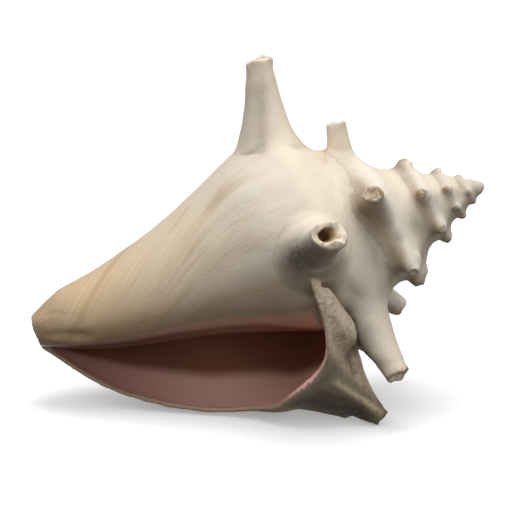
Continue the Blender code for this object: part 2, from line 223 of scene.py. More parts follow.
# Stains and painted shadow on the standing shell: a line of points, its width, and how dark it is.
# Some lines are the shell's own stains; the lines on the broken tube's flank, by the lip's groove and
# under the lip's ridge are painted shadow
STAINS_AND_SHADOWS = (
    # Painted shade on the flank beside the lip's groove
    (((39.5, -35.7, 36.0), (39.5, -35.7, 27.0)), 4.5, 0.5),
    # Painted shadow on the broken tube's lower flank
    (((15.5, -50.2, 69.2), (19.5, -58.5, 73.0), (23.0, -64.0, 74.5), (26.0, -63.0, 74.5)), 5.5, 1.0),
    (((11.9, -44.6, 66.0), (19.9, -55.8, 67.0)), 6.0, 0.55),
    (((0.5, 0.0, 124.0), (1.0, -5.1, 110.4), (1.5, -11.0, 99.0)), 2.6, 0.3),
    (((38.0, -30.0, 80.5), (40.0, -28.0, 73.0)), 4.0, 0.45),
    (((46.6, -26.9, 61.1), (44.0, -28.0, 66.0)), 3.0, 0.3),
    (((62.2, -15.4, 71.7), (58.5, -17.0, 74.0)), 3.0, 0.4),
    # Painted shadow, partly stain, under the ridge below the lip
    (((16.6, -38.3, 9.2), (24.2, -34.9, 7.0), (31.7, -35.4, 6.0), (40.0, -36.0, 4.2)), 4.0, 2.2),
    (((24.8, -37.9, 12.3), (31.0, -37.5, 9.5)), 3.0, 1.0),
    (((34.0, -34.6, 44.2), (33.0, -35.2, 46.0)), 1.3, 0.9),
    # Painted shade along the groove by the lip
    (((34.9, -34.4, 38.0), (36.6, -33.1, 30.4), (37.5, -33.0, 20.0)), 1.5, 0.8),
    (((35.5, -34.5, 30.4), (36.0, -33.5, 23.0)), 3.0, 0.7),
    (((33.5, -39.0, 45.0), (32.7, -42.0, 40.0), (32.0, -43.0, 36.0)), 0.8, 0.75),
    (((34.0, -34.6, 44.2), (34.9, -34.4, 39.8)), 2.4, 0.4),
    (((-80.0, -22.5, 29.8), (-75.0, -24.2, 30.8), (-65.0, -25.3, 31.5)), 2.2, 0.25),
    (((-86.0, -19.0, 31.0), (-80.3, -21.9, 33.6)), 3.2, 0.45),
)

# Streaks follow old lip edges: along the axis at first, then bending round towards the canal
STREAK_START = 95.0
STREAK_BEND = 0.0285 / 360.0

# Nearer the axis than this, a point takes the turn of its nearest grid point
NEAR_AXIS = 3.0
# How far in x a point may lie from its nearest grid point
SLIDE_LIMIT = 0.02

# The photograph's frame: how large it shows the shell, and where the apex is in it
IMAGE_SIDE = 512
MM_PER_PIXEL = 0.3814
APEX_PIXEL = (484.0, 185.0)
CAMERA_DISTANCE = 1300.0
SENSOR = 36.0
# The stretch of the apex that is averaged to find its pixel
TIP_LENGTH = 1.5

# The point that both lamps face, in metres
LIGHTS_AIM = Vector((0, 0, 0.06))


def smoothstep(x, low, high):
    share = np.clip((x - low) / (high - low), 0.0, 1.0)
    return share * share * (3.0 - 2.0 * share)


def through(x, knots, values):
    """A smooth curve through values, which may have further axes, read at x."""
    slopes = np.gradient(values, knots, axis=0)
    x = np.clip(x, knots[0], knots[-1])
    i = np.clip(np.searchsorted(knots, x, side="right") - 1, 0, len(knots) - 2)
    step = knots[i + 1] - knots[i]
    t = (x - knots[i]) / step
    if values.ndim > 1:
        step, t = step[..., None], t[..., None]
    start, end = values[i], values[i + 1]
    first, last = slopes[i] * step, slopes[i + 1] * step
    return (
        start * (2 * t**3 - 3 * t**2 + 1)
        + first * (t**3 - 2 * t**2 + t)
        + end * (3 * t**2 - 2 * t**3)
        + last * (t**3 - t**2)
    )


def shoulder_s(turn):
    return LIP_SHOULDER * np.exp(WHORL_RATE * turn)


def catmull(knots, place):
    """Knots along the last axis, read at a place counted in knots."""
    last = knots.shape[-1] - 1
    i = np.clip(np.floor(place).astype(int), 0, last - 1)
    t = place - i
    p0, p1, p2, p3 = (
        np.take_along_axis(knots, np.clip(i + k, 0, last)[..., None], axis=-1)[..., 0]
        for k in (-1, 0, 1, 2)
    )
    return 0.5 * (
        2 * p1
        + (p2 - p0) * t
        + (2 * p0 - 5 * p1 + 4 * p2 - p3) * t**2
        + (3 * p1 - p0 - 3 * p2 + p3) * t**3
    )


def outer_skin(turn, x):
    """s and radius of the outer skin."""
    turn, x = np.broadcast_arrays(np.asarray(turn, float), np.asarray(x, float))
    s_shoulder = shoulder_s(turn)
    r_shoulder = SHOULDER_SLOPE * s_shoulder
    s_end = CANAL_END * np.exp(WHORL_RATE * np.minimum(turn - OLD_CANAL_TURN, 0.0))
    shapes = through(turn, BODY_AGES, BODY_SHAPES)
    climb = smoothstep(turn, -0.2, -0.02) - 0.5 * smoothstep(turn, 0.02, 0.13)
    share = SUTURE_SHARE + (LIP_SUTURE_SHARE - SUTURE_SHARE) * climb
    reach = SUTURE_RADIUS + (LIP_SUTURE_RADIUS - SUTURE_RADIUS) * climb
    tuck = SUTURE_TUCK + (LIP_SUTURE_TUCK - SUTURE_TUCK) * climb
    s_suture = (share * s_shoulder)[..., None]
    r_suture = (reach * s_shoulder)[..., None]
    near_lip = smoothstep(turn, -0.35, 0.05)[..., None]
    full = smoothstep(turn, -1.4, -1.0)[..., None]
    along = (1 - near_lip) * OPEN_RAMP + near_lip * LIP_RAMP_ALONG
    out = (1 - near_lip) * OPEN_RAMP ** (1.45 - 0.6 * full) + near_lip * LIP_RAMP_OUT
    s_ramp = s_suture + (s_shoulder[..., None] - s_suture) * along
    r_ramp = r_suture + (r_shoulder[..., None] - r_suture) * out
    r_ramp[..., 0] -= tuck * s_shoulder
    # The upper front of the spire, between the nodules at 0.21 and 0.42 of a turn
    phase = turn % 1.0
    flat = smoothstep(phase, 0.23, 0.28) * smoothstep(phase, 0.40, 0.35)
    flat *= smoothstep(turn, -1.0, -1.2)
    soft = (full * (1 - near_lip))[..., 0] + FLAT_KEEL * flat
    r_ramp[..., 3] *= 1 + SOFT_RAMP * soft
    s_body = s_shoulder[..., None] + (s_end - s_shoulder)[..., None] * BODY_STEPS
    r_body = r_shoulder[..., None] * shapes
    r_body[..., 0] *= 1 - SOFT_KEEL * soft
    s_knots = np.concatenate([s_ramp, s_body], axis=-1)
    r_knots = np.concatenate([r_ramp, r_body], axis=-1)
    count = s_knots.shape[-1]
    knot_x = np.concatenate([RAMP_STEPS, BODY_STEPS])
    place = np.interp(x, knot_x, np.arange(count))
    return catmull(s_knots, place), catmull(r_knots, place)


def point(turn, s, radius):
    """Local coordinates: X along the axis to the canal, Y to the front, Z up."""
    angle = LIP_ANGLE + 2 * math.pi * np.asarray(turn, float)
    return np.stack(
        np.broadcast_arrays(s, radius * np.cos(angle), radius * np.sin(angle)), axis=-1
    )


def lip_swing(x):
    return through(x, LIP_STEPS, LIP_SWING) / 360.0


def add_grid(bm, points, close_rows=False):
    rows, columns = points.shape[:2]
    verts = [[bm.verts.new(p * MM) for p in row] for row in points]
    last = columns if close_rows else columns - 1
    for i in range(rows - 1):
        for j in range(last):
            k = (j + 1) % columns
            bm.faces.new((verts[i][j], verts[i + 1][j], verts[i + 1][k], verts[i][k]))
    return verts


def spine_axis(spine):
    """Foot on the shoulder, direction and height of a spine."""
    foot = point(spine.turn, *outer_skin(spine.turn, spine.x))
    rise = point(spine.tip_turn, spine.tip_s, spine.tip_distance) - foot
    height = np.linalg.norm(rise)
    return foot, rise / height, height


def flare(spine):
    """Tip radius, foot radius and power of a spine's flare."""
    nodule = smoothstep(spine.turn, *NODULE_TURNS)
    tip_radius = spine.tip_radius * (1 - NODULE_POINT * nodule)
    foot_radius = spine.foot_radius * (1 + NODULE_BREADTH * nodule)
    return tip_radius, foot_radius, FLARE_POWER + (NODULE_POWER - FLARE_POWER) * nodule


def raise_spines(outer, turn):
    """Draws the outer skin out into the spines' flared feet."""
    raised = outer.copy()
    tallest = np.zeros(turn.shape)
    drawn = np.zeros(outer.shape)
    for spine in SPINES:
        foot, rise, height = spine_axis(spine)
        tip_radius, foot_radius, power = flare(spine)
        near = np.abs(turn - spine.turn) < FOOT_TURNS[1]
        offset = outer[near] - foot
        offset -= (offset @ rise)[:, None] * rise
        distance = np.linalg.norm(offset, axis=1)
        if spine.turn in SOFT_FEET:
            foot_radius *= SOFT_FOOT_BREADTH
        flank = np.clip((distance - tip_radius) / (foot_radius - tip_radius), 0.0, 1.0)
        limit = min(FLARE_LIMIT, DISH_LIMIT - DISH_ROOM * spine.pit / height)
        lift = height * np.minimum(1.0 - flank**power, limit)
        if spine.turn in SOFT_FEET:
            lift *= 1.0 - flank**3
        tent = height * TENT_RISE * np.exp(-((distance / (TENT_WIDTH * foot_radius)) ** 2))
        tent *= min(1.0, limit / FLARE_LIMIT)
        fade = 1.0 - smoothstep(np.abs(turn[near] - spine.turn), *FOOT_TURNS)
        raised[near] += (tent * fade)[:, None] * rise
        taller = lift > tallest[near]
        tallest[near] = np.where(taller, lift, tallest[near])
        drawn[near] = np.where(taller[:, None], lift[:, None] * rise, drawn[near])
    return raised + drawn


def wall_sheets():
    """Outer and inner skin as grids of points, with the turn and x of each."""
    x = np.concatenate(
        [np.linspace(-1, 0, RAMP_COLUMNS)[:-1], np.linspace(0, 1, BODY_COLUMNS)]
    )
    rows = int(-FIRST_TURN * ROWS_PER_TURN)
    growth = np.linspace(FIRST_TURN, 0.0, rows)[:, None]
    turn = growth + lip_swing(x)[None, :]
    x = np.broadcast_to(x, turn.shape)
    s, radius = outer_skin(turn, x)
    outer = point(turn, s, radius)
    normal = np.cross(np.gradient(outer, axis=0), np.gradient(outer, axis=1))
    normal /= np.linalg.norm(normal, axis=-1, keepdims=True) + 1e-9
    spoke = outer - point(turn, s, 0.0)
    probe = rows // 2, RAMP_COLUMNS // 3
    if np.sum(normal[probe] * spoke[probe]) < 0:
        normal = -normal
    size = np.exp(WHORL_RATE * turn)
    wall = BODY_WALL * np.clip(size, 0.1, 1.0) ** WALL_GROWTH
    edge = smoothstep(growth, -LIP_TAPER, 0.0)
    wall = wall * (1 - edge) + LIP_WALL * edge
    inner = outer - normal * wall[..., None]
    return raise_spines(outer, turn), inner, turn, x


def add_wall(bm, outer, inner):
    """The helical wall as a closed sheet: outer skin, inner skin and the edges between them."""
    outside = add_grid(bm, outer)
    inside = add_grid(bm, inner)
    rows, count = outer.shape[:2]
    for i in range(rows - 1):
        for j in (0, count - 1):
            bm.faces.new((outside[i][j], outside[i + 1][j], inside[i + 1][j], inside[i][j]))
    for j in range(count - 1):
        for i in (0, rows - 1):
            bm.faces.new((outside[i][j], outside[i][j + 1], inside[i][j + 1], inside[i][j]))


def add_turned(bm, profile, sides=48):
    """A closed body turned round the axis, from (s, radius) pairs."""
    turns = np.arange(sides) / sides
    rings = np.array([point(turns, s, radius) for s, radius in profile])
    verts = add_grid(bm, rings, close_rows=True)
    bm.faces.new(verts[0])
    bm.faces.new(verts[-1])


def add_spine(bm, spine, sides=36):
    """The column inside a spine, from within the wall to its broken, hollow tip."""
    foot, rise, height = spine_axis(spine)
    tip_radius, foot_radius, power = flare(spine)
    across = np.cross(rise, (1.0, 0.0, 0.0))
    across /= np.linalg.norm(across)
    along = np.cross(across, rise)
    around = 2 * math.pi * np.arange(sides) / sides
    circle = np.cos(around)[:, None] * across + np.sin(around)[:, None] * along
    seed = foot[0] + 7.0 * foot[1]
    narrow, rough = (OPEN_NARROW, OPEN_ROUGH) if spine.pit > OPEN_PIT else (1.0, 1.0)
    ragged = rough * (0.09 * np.sin(2 * around + seed) + 0.06 * np.sin(5 * around + 2 * seed))
    rim_rise, hole_shift, rim_draw = (np.array(v) for v in BROKEN_TIPS.get(spine.turn, WHOLE_TIP))
    hole_shift = (hole_shift - rise * (hole_shift @ rise)) * tip_radius
    drawn = np.outer(circle @ rim_draw, rim_draw) / (np.linalg.norm(rim_draw) + 1e-9)
    rings = [foot - rise * COLUMN_ROOT * height + circle * 0.5 * tip_radius]
    for share in COLUMN_SHARES:
        spread = (1 - max(share, COLUMN_STRAIGHT)) ** (1 / power)
        radius = tip_radius + (foot_radius - tip_radius) * spread
        rings.append(foot + rise * height * share + (circle + drawn * share) * radius)
    tip = foot + rise * height
    crest = rise * ((ragged + circle @ rim_rise) * tip_radius)[:, None]
    circle = (circle + drawn) * tip_radius
    dish = ((narrow * share, depth * spine.pit) for share, depth in DISH)
    for share, depth in ((RIM_SHARE, 0.0), *dish):
        middle = tip - rise * depth + hole_shift * min(1.0, depth)
        rings.append(middle + crest * share / RIM_SHARE + circle * share)
    verts = add_grid(bm, np.array(rings), close_rows=True)
    bm.faces.new(verts[0])
    bm.faces.new(verts[-1])


def loose_shapes(outer, inner):
    bm = bmesh.new()
    add_wall(bm, outer, inner)
    add_turned(bm, CORE)
    for spine in SPINES:
        add_spine(bm, spine)
    bmesh.ops.recalc_face_normals(bm, faces=bm.faces)
    mesh = bpy.data.meshes.new("conch")
    bm.to_mesh(mesh)
    bm.free()
    return mesh


def evaluated_mesh(ob):
    bpy.context.view_layer.update()
    graph = bpy.context.evaluated_depsgraph_get()
    return bpy.data.meshes.new_from_object(ob.evaluated_get(graph), depsgraph=graph)


def edge_ends(mesh):
    """Indices of the vertices at both ends of each edge."""
    ends = np.empty(2 * len(mesh.edges), np.int64)
    mesh.edges.foreach_get("vertices", ends)
    return ends.reshape(-1, 2).T


def drop_sealed_voids(mesh):
    """Keeps the largest closed surface, which is the outside together with the open whorl."""
    a, b = edge_ends(mesh)
    label = np.arange(len(mesh.vertices))
    while True:
        low = np.minimum(label[a], label[b])
        merged = label.copy()
        np.minimum.at(merged, a, low)
        np.minimum.at(merged, b, low)
        merged = merged[merged]
        if np.array_equal(merged, label):
            break
        label = merged
    kept = np.bincount(label).argmax()
    bm = bmesh.new()
    bm.from_mesh(mesh)
    bm.verts.ensure_lookup_table()
    spare = [bm.verts[i] for i in np.flatnonzero(label != kept)]
    bmesh.ops.delete(bm, geom=spare, context="VERTS")
    bm.to_mesh(mesh)
    bm.free()


def positions(mesh):
    at = np.empty(3 * len(mesh.vertices))
    mesh.vertices.foreach_get("co", at)
    return at.reshape(-1, 3)


def normals(mesh):
    out = np.empty(3 * len(mesh.vertices))
    mesh.vertex_normals.foreach_get("vector", out)
    return out.reshape(-1, 3)


def put(mesh, at):
    mesh.vertices.foreach_set("co", at.ravel())
    mesh.update()


def speckle(at, cell, seed):
    """Smooth noise from -1 to 1 over points, about one value a cell."""
    grid = at / cell
    base = np.floor(grid).astype(np.int64)
    share = grid - base
    share = share * share * (3 - 2 * share)
    total = np.zeros(len(at))
    for corner in itertools.product((0, 1), repeat=3):
        key = base + corner
        mixed = key[:, 0] * 73856093 ^ key[:, 1] * 19349663 ^ key[:, 2] * 83492791
        mixed ^= seed * 374761393
        mixed &= 0xFFFFFFFF
        mixed = ((mixed ^ (mixed >> 13)) * 1274126177) & 0xFFFFFFFF
        value = ((mixed ^ (mixed >> 16)) & 0xFFFF) / 32767.5 - 1
        weight = np.prod(np.where(corner, share, 1 - share), axis=1)
        total += weight * value
    return total


class Chart:
    """Where each point of a mesh lies on the wall.

    Its place is turn, x, s and radius, and inside is 1 on the inner skin. Growth is 0 at the lip's
    edge and negative before it. Streak follows the growth lines, and spiral the spiral threads.
    """

    def __init__(self, at, outer, inner, turn, x):
        sheet = np.concatenate([outer.reshape(-1, 3), inner.reshape(-1, 3)])
        x_step = np.gradient(x, axis=1)[..., None]
        step = np.concatenate(
            [(np.gradient(skin, axis=1) / x_step).reshape(-1, 3) for skin in (outer, inner)]
        )
        turns = np.tile(turn.ravel(), 2)
        xs = np.tile(x.ravel(), 2)
        tree = kdtree.KDTree(len(sheet))
        for i, p in enumerate(sheet):
            tree.insert(p, i)
        tree.balance()
        nearest = np.array([tree.find(p)[1] for p in at])
        offset = at - sheet[nearest]
        step = step[nearest]
        slide = np.sum(offset * step, axis=1) / (np.sum(step**2, axis=1) + 1e-9)
        self.x = np.clip(xs[nearest] + np.clip(slide, -SLIDE_LIMIT, SLIDE_LIMIT), -1, 1)
        exact = (np.arctan2(at[:, 2], at[:, 1]) - LIP_ANGLE) / (2 * math.pi)
        radius = np.hypot(at[:, 1], at[:, 2])
        near_axis = radius < NEAR_AXIS
        self.turn = exact + np.round(turns[nearest] - exact)
        self.turn[near_axis] = turns[nearest][near_axis]
        self.inside = (nearest >= len(sheet) // 2).astype(float)
        self.growth = self.turn - lip_swing(self.x)
        wrapped = STREAK_BEND * np.maximum(at[:, 0] - STREAK_START, 0.0) ** 2
        ramp_swing = np.where(self.x < 0, lip_swing(self.x) - lip_swing(0.0), 0.0)
        self.streak = self.turn - ramp_swing + wrapped
        self.s = at[:, 0]
        self.radius = radius
        self.spiral = np.log(np.maximum(self.s, 1.0) / shoulder_s(self.turn)) / WHORL_RATE


def along_spine(at, spine):
    """How far up a spine and how far off its axis each point is, and the spine's height."""
    foot, rise, height = spine_axis(spine)
    offset = at - foot
    up = offset @ rise
    off = np.linalg.norm(offset - up[:, None] * rise, axis=1)
    return up, off, height


def spine_reach(at):
    """How far up its spine each point is, from 0 at the foot to 1 at the tip."""
    best = np.zeros(len(at))
    for spine in SPINES:
        up, off, height = along_spine(at, spine)
        close = smoothstep(off, 1.7 * spine.tip_radius, 1.25 * spine.tip_radius)
        best = np.maximum(best, np.clip(up / height, 0, 1.1) * close)
    return best


def pit_share(at):
    """How deep in an open spine's hollow each point is, from 0 outside to 1 at its bottom."""
    best = np.zeros(len(at))
    for spine in SPINES:
        if spine.pit < OPEN_PIT:
            continue
        up, off, height = along_spine(at, spine)
        deep = smoothstep(height - up, -0.15 * spine.pit, 0.8 * spine.pit)
        near = smoothstep(off, 0.9 * spine.tip_radius, 0.6 * spine.tip_radius) * (up > 0.3 * height)
        best = np.maximum(best, deep * near)
    return best


def resting_turn():
    return (
        Matrix.Rotation(-VIEW_FALL, 4, "X")
        @ Matrix.Rotation(VIEW_ROLL, 4, "Y")
        @ Matrix.Rotation(math.pi, 4, "Z")
        @ Matrix.Rotation(AXIS_RISE, 4, "Y")
    )


def relax(mesh, values, passes):
    """Rows of values, one for each vertex, after passes of averaging with the neighbours."""
    a, b = edge_ends(mesh)
    count = len(values)
    degree = np.bincount(a, minlength=count) + np.bincount(b, minlength=count)
    soft = values.copy()
    for _ in range(passes):
        total = np.stack(
            [
                np.bincount(a, weights=soft[b, k], minlength=count)
                + np.bincount(b, weights=soft[a, k], minlength=count)
                for k in range(values.shape[1])
            ],
            axis=1,
        )
        soft = 0.5 * soft + 0.5 * total / degree[:, None]
    return soft


def store(mesh, name, values):
    layer = mesh.attributes.new(name, "FLOAT", "POINT")
    layer.data.foreach_set("value", np.asarray(values, np.float32))


def build_shell():
    outer, inner, turn, x = wall_sheets()
    shell = bpy.data.objects.new("conch", loose_shapes(outer, inner))
    bpy.context.scene.collection.objects.link(shell)
    remesh = shell.modifiers.new("join", "REMESH")
    remesh.mode = "VOXEL"
    remesh.voxel_size = VOXEL * MM
    shell.data = evaluated_mesh(shell)
    drop_sealed_voids(shell.data)
    shell.modifiers.clear()
    smooth = shell.modifiers.new("wear", "SMOOTH")
    smooth.factor = 0.5
    smooth.iterations = 5
    thin = shell.modifiers.new("thin", "DECIMATE")
    thin.ratio = TRIANGLES / (2 * len(shell.data.polygons))
    shell.data = evaluated_mesh(shell)
    shell.modifiers.clear()
    mesh = shell.data
    at = positions(mesh) / MM
    chart = Chart(at, outer, inner, turn, x)
    at = fill_sutures(mesh, at, chart)
    carve(mesh, at, chart)
    mark(mesh, chart)
    mesh.transform(resting_turn())
    stand_in_frame(mesh)
    sculpt(mesh)
    stain_and_shadow(mesh, chart)
    keep_in_box(mesh)
    for polygon in mesh.polygons:
        polygon.use_smooth = True
    return shell


def fill_sutures(mesh, at, chart):
    """Fills the sharp grooves between the spire's whorls, as old shell and wear do."""
    reach = spine_reach(at)
    spire = smoothstep(chart.turn, -0.12, -0.25) * smoothstep(chart.s, 82.0, 74.0)
    spire *= smoothstep(reach, 0.6, 0.35) * smoothstep(chart.s, 8.0, 14.0) * (1 - chart.inside)
    for passes in SUTURE_PASSES:
        soft = relax(mesh, at, passes)
        hollow = np.sum((soft - at) * normals(mesh), axis=1)
        share = spire * smoothstep(hollow, 0.05, 0.2 + 0.006 * passes)
        at = at + relax(mesh, share[:, None], 10) * (soft - at)
        put(mesh, at * MM)
    return at


def carve(mesh, at, chart):
    """Growth ridges, dents and rough broken places in the surface itself."""
    outward = normals(mesh)
    outside = 1 - chart.inside
    size = np.clip(chart.radius / 40.0, 0.15, 1.0)
    growth_place = np.stack([chart.streak * 36, chart.x * 1.5, np.zeros_like(chart.x)], axis=1)
    ridges = speckle(growth_place, 1.0, 3)
    dents = speckle(at, 9.0, 5) + 0.5 * speckle(at, 4.0, 6)
    chips = size * speckle(at, 2.8, 9)
    grit = speckle(at, 1.6, 7)
    reach = spine_reach(at)
    broken = smoothstep(reach, 0.86, 0.97)
    band = outside * smoothstep(chart.x, -0.55, -0.80) * smoothstep(chart.turn, -0.02, 0.03)
    band *= smoothstep(chart.growth, 0.0, -0.035)
    lift = outside * size * (0.22 * ridges + 0.20 * dents) + LIP_BAND * band
    lift += broken * (0.22 * grit + 0.40 * chips)
    put(mesh, (at + outward * lift[:, None]) * MM)
    chart.reach = reach
    chart.at = at


def mark(mesh, chart):
    """Stores what the surface's colours follow."""
    at = positions(mesh) / MM
    turn, x, s, reach, outside = chart.turn, chart.x, chart.s, chart.reach, 1 - chart.inside
    store(mesh, "streak", chart.streak)
    store(mesh, "spiral", chart.spiral)
    store(mesh, "along", s / CANAL_END)
    store(mesh, "x", x)
    store(mesh, "turn", turn)
    store(mesh, "reach", reach)
    store(mesh, "pit", pit_share(chart.at))
    # How deep each point lies in a hollow, finely and broadly; the colours darken there with dirt and
    # painted shade
    for name, passes in (("hollow", 24), ("valley", 120)):
        store(mesh, name, np.sum((relax(mesh, at, passes) - at) * normals(mesh), axis=1))

    # The glaze inside the mouth: the lining, and the older whorl that the last one covers
    suture = 0.72 + 0.12 * smoothstep(turn, -1.15, -1.4)
    next_shoulder = shoulder_s(turn + 1)
    covered = smoothstep(s, suture * next_shoulder, (suture + 0.03) * next_shoulder)
    covered *= smoothstep(turn, -0.912, -0.968)
    within = np.maximum(chart.inside * smoothstep(x, -0.90, -0.75), covered)
    # Depth into the mouth: past a set depth the glaze turns dark brown, partly its own colour and
    # partly painted shadow
    lining = -chart.growth - 0.018 + 0.030 * smoothstep(x, 0.0, 0.4)
    parietal = -0.90 - turn + 0.035 * smoothstep(x, 0.15, 0.32)
    store(mesh, "within", within)
    store(mesh, "depth", np.where(chart.inside > 0.5, lining, parietal))

    # Painted shade over the mouth and on the lip's lower part, and the lip's edge
    brow = smoothstep(turn, -0.80, -0.90) * smoothstep(turn, -1.02, -0.98)
    store(mesh, "brow", brow * smoothstep(x, 0.10, 0.22) * outside)
    low_lip = smoothstep(turn, -0.075, -0.035) * smoothstep(x, -0.55, -0.36)
    store(mesh, "lip_shade", low_lip * smoothstep(x, 0.03, -0.06) * outside)
    store(mesh, "edge", smoothstep(chart.growth, -0.010, -0.003) * smoothstep(x, -0.2, 0.0))

    # On the spire: painted shade on the side below the keel, painted light on the crest above it, and
    # brown tips
    spire = smoothstep(turn, -1.05, -1.2) * (1 - within)
    keel_shade = smoothstep(x, -0.02, 0.05) * smoothstep(reach, 0.95, 0.7)
    keel_shade *= smoothstep(turn, -1.63, -1.73)
    crest = smoothstep(x, -0.55, -0.2) * smoothstep(x, 0.03, -0.05)
    for name, share in (("keel_shade", spire * keel_shade), ("crest", spire * crest)):
        store(mesh, name, relax(mesh, share[:, None], 14)[:, 0])
    worn = smoothstep(turn, -2.0, -2.1) * smoothstep(reach, 0.45, 0.9)
    worn += smoothstep(np.abs(turn - BROWN_TIP), 0.05, 0.04) * smoothstep(reach, 0.82, 0.95)
    store(mesh, "worn", spire * worn)


def stand_in_frame(mesh):
    """Moves the mesh onto the CAD solid, its lowest points worn flat by the box's floor."""
    low, high = (np.array(c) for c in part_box("shell"))
    at = positions(mesh)
    floor = at[:, 2].min() + REST_WEAR * MM
    middle = (at.min(axis=0) + at.max(axis=0)) / 2
    at += ((low + high) / 2 - middle) * (1, 1, 0)
    at[:, 2] += low[2] - floor
    put(mesh, at)


def keep_in_box(mesh):
    """Keeps the mesh in the CAD solid's box."""
    low, high = (np.array(c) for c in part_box("shell"))
    put(mesh, np.clip(positions(mesh), low, high))


def near_line(at, line, width):
    """Nearness of each point to a chain of straight stretches: 1 on it, a third a width away."""
    best = np.full(len(at), np.inf)
    for start, end in zip(line[:-1], line[1:]):
        start, end = np.array(start), np.array(end)
        along = end - start
        share = np.clip((at - start) @ along / (along @ along), 0, 1)
        best = np.minimum(best, np.linalg.norm(at - start - share[:, None] * along, axis=1))
    return np.exp(-((best / width) ** 2))


def sculpt(mesh):
    """Raises or cuts the marks that belong to this one shell."""
    at = positions(mesh) / MM
    lift = np.zeros(len(at))
    for line, width, height in MARKS:
        lift += height * near_line(at, line, width)
    put(mesh, (at + normals(mesh) * lift[:, None]) * MM)


def stain_and_shadow(mesh, chart):
    """Stores the stains and painted shadow along the listed lines, the rubbed ridge, and painted
    shade on what faces down.
    """
    at = positions(mesh) / MM
    total = np.zeros(len(at))
    for line, width, strength in STAINS_AND_SHADOWS:
        total += strength * near_line(at, line, width)
    store(mesh, "stain_and_shadow", total * smoothstep(chart.reach, 1.02, 0.93))
    store(mesh, "rubbed", near_line(at, RUBBED_LINE, RUBBED_WIDTH))
    # Painted shade on what faces down
    store(mesh, "faces_down_shade", smoothstep(normals(mesh)[:, 2], 0.1, -0.7))


class Graph:
    """Adds linked shader nodes to a material."""

    def __init__(self, material):
        self.nodes = material.node_tree.nodes
        self.links = material.node_tree.links

    def set(self, socket, value):
        if isinstance(value, bpy.types.NodeSocket):
            self.links.new(value, socket)
        else:
            socket.default_value = value

    def value(self, name):
        node = self.nodes.new("ShaderNodeAttribute")
        node.attribute_name = name
        return node.outputs["Fac"]

    def math(self, operation, a, b=0.0):
        node = self.nodes.new("ShaderNodeMath")
        node.operation = operation
        self.set(node.inputs[0], a)
        self.set(node.inputs[1], b)
        return node.outputs[0]

    def times(self, a, b):
        return self.math("MULTIPLY", a, b)

    def fade(self, a, low, high, start=0.0, end=1.0):
        """Start below low, end above high, and a smooth step between."""
        node = self.nodes.new("ShaderNodeMapRange")
        node.interpolation_type = "SMOOTHSTEP"
        names = ("Value", "From Min", "From Max", "To Min", "To Max")
        for name, value in zip(names, (a, low, high, start, end)):
            self.set(node.inputs[name], value)
        return node.outputs[0]

    def place(self, x, y, z=0.0):
        node = self.nodes.new("ShaderNodeCombineXYZ")
        for socket, value in zip(node.inputs, (x, y, z)):
            self.set(socket, value)
        return node.outputs[0]

    def object_place(self):
        return self.nodes.new("ShaderNodeTexCoord").outputs["Object"]

    def noise(self, place, scale, detail=3.0, roughness=0.55):
        node = self.nodes.new("ShaderNodeTexNoise")
        self.set(node.inputs["Vector"], place)
        node.inputs["Scale"].default_value = scale
        node.inputs["Detail"].default_value = detail
        node.inputs["Roughness"].default_value = roughness
        return node.outputs["Fac"]

    def mix(self, share, a, b, blend="MIX"):
        node = self.nodes.new("ShaderNodeMix")
        node.data_type = "RGBA"
        node.blend_type = blend
        self.set(node.inputs[0], share)
        self.set(node.inputs[6], a)
        self.set(node.inputs[7], b)
        return node.outputs[2]


def colour(red, green, blue):
    """A colour given as the eye's 0 to 255 levels, as linear values."""
    levels = (c / 255 for c in (red, green, blue))
    return (*(c / 12.92 if c <= 0.04045 else ((c + 0.055) / 1.055) ** 2.4 for c in levels), 1.0)


CREAM = colour(236, 224, 205)
WARM_CREAM = colour(228, 205, 170)
OCHRE = colour(206, 168, 112)
TAN = colour(184, 152, 106)
WORN_TIP = colour(240, 224, 194)
# Grey-brown, used for the lip's edge and for painted shade below the spire's keels
GREY_BROWN = colour(140, 118, 92)
PINK = colour(250, 200, 178)
DEEP_BROWN = colour(150, 98, 76)
DARK_BROWN = colour(118, 76, 60)
# Painted shade on the lip's lower part
OLIVE_SHADE = colour(122, 112, 92)
DUSKY_PINK = colour(158, 112, 104)
# Dirt, also used as painted shade in the hollows, the valleys and on what faces down
DIRT_AND_SHADE = colour(112, 90, 62)
# Stains and painted shadow along the stain lines, the darkest near black
STAIN_AND_SHADOW_BROWN = colour(70, 56, 42)
DARK_STAIN_AND_SHADOW = colour(38, 33, 26)
BROWN = colour(140, 106, 66)
BROW_SHADE = (0.62, 0.54, 0.46, 1.0)
CHALK = colour(238, 232, 220)


# Streaks, bands and growth lines to a turn, and spiral threads to a whorl
FINE_STREAKS = 72.0
BROAD_BANDS = 14.0
GROWTH_LINES = 150.0
THREADS = 21.0
# The last stretch before the lip, in turns, is rougher and dirtier
LIP_TURNS = (-0.09, -0.03)


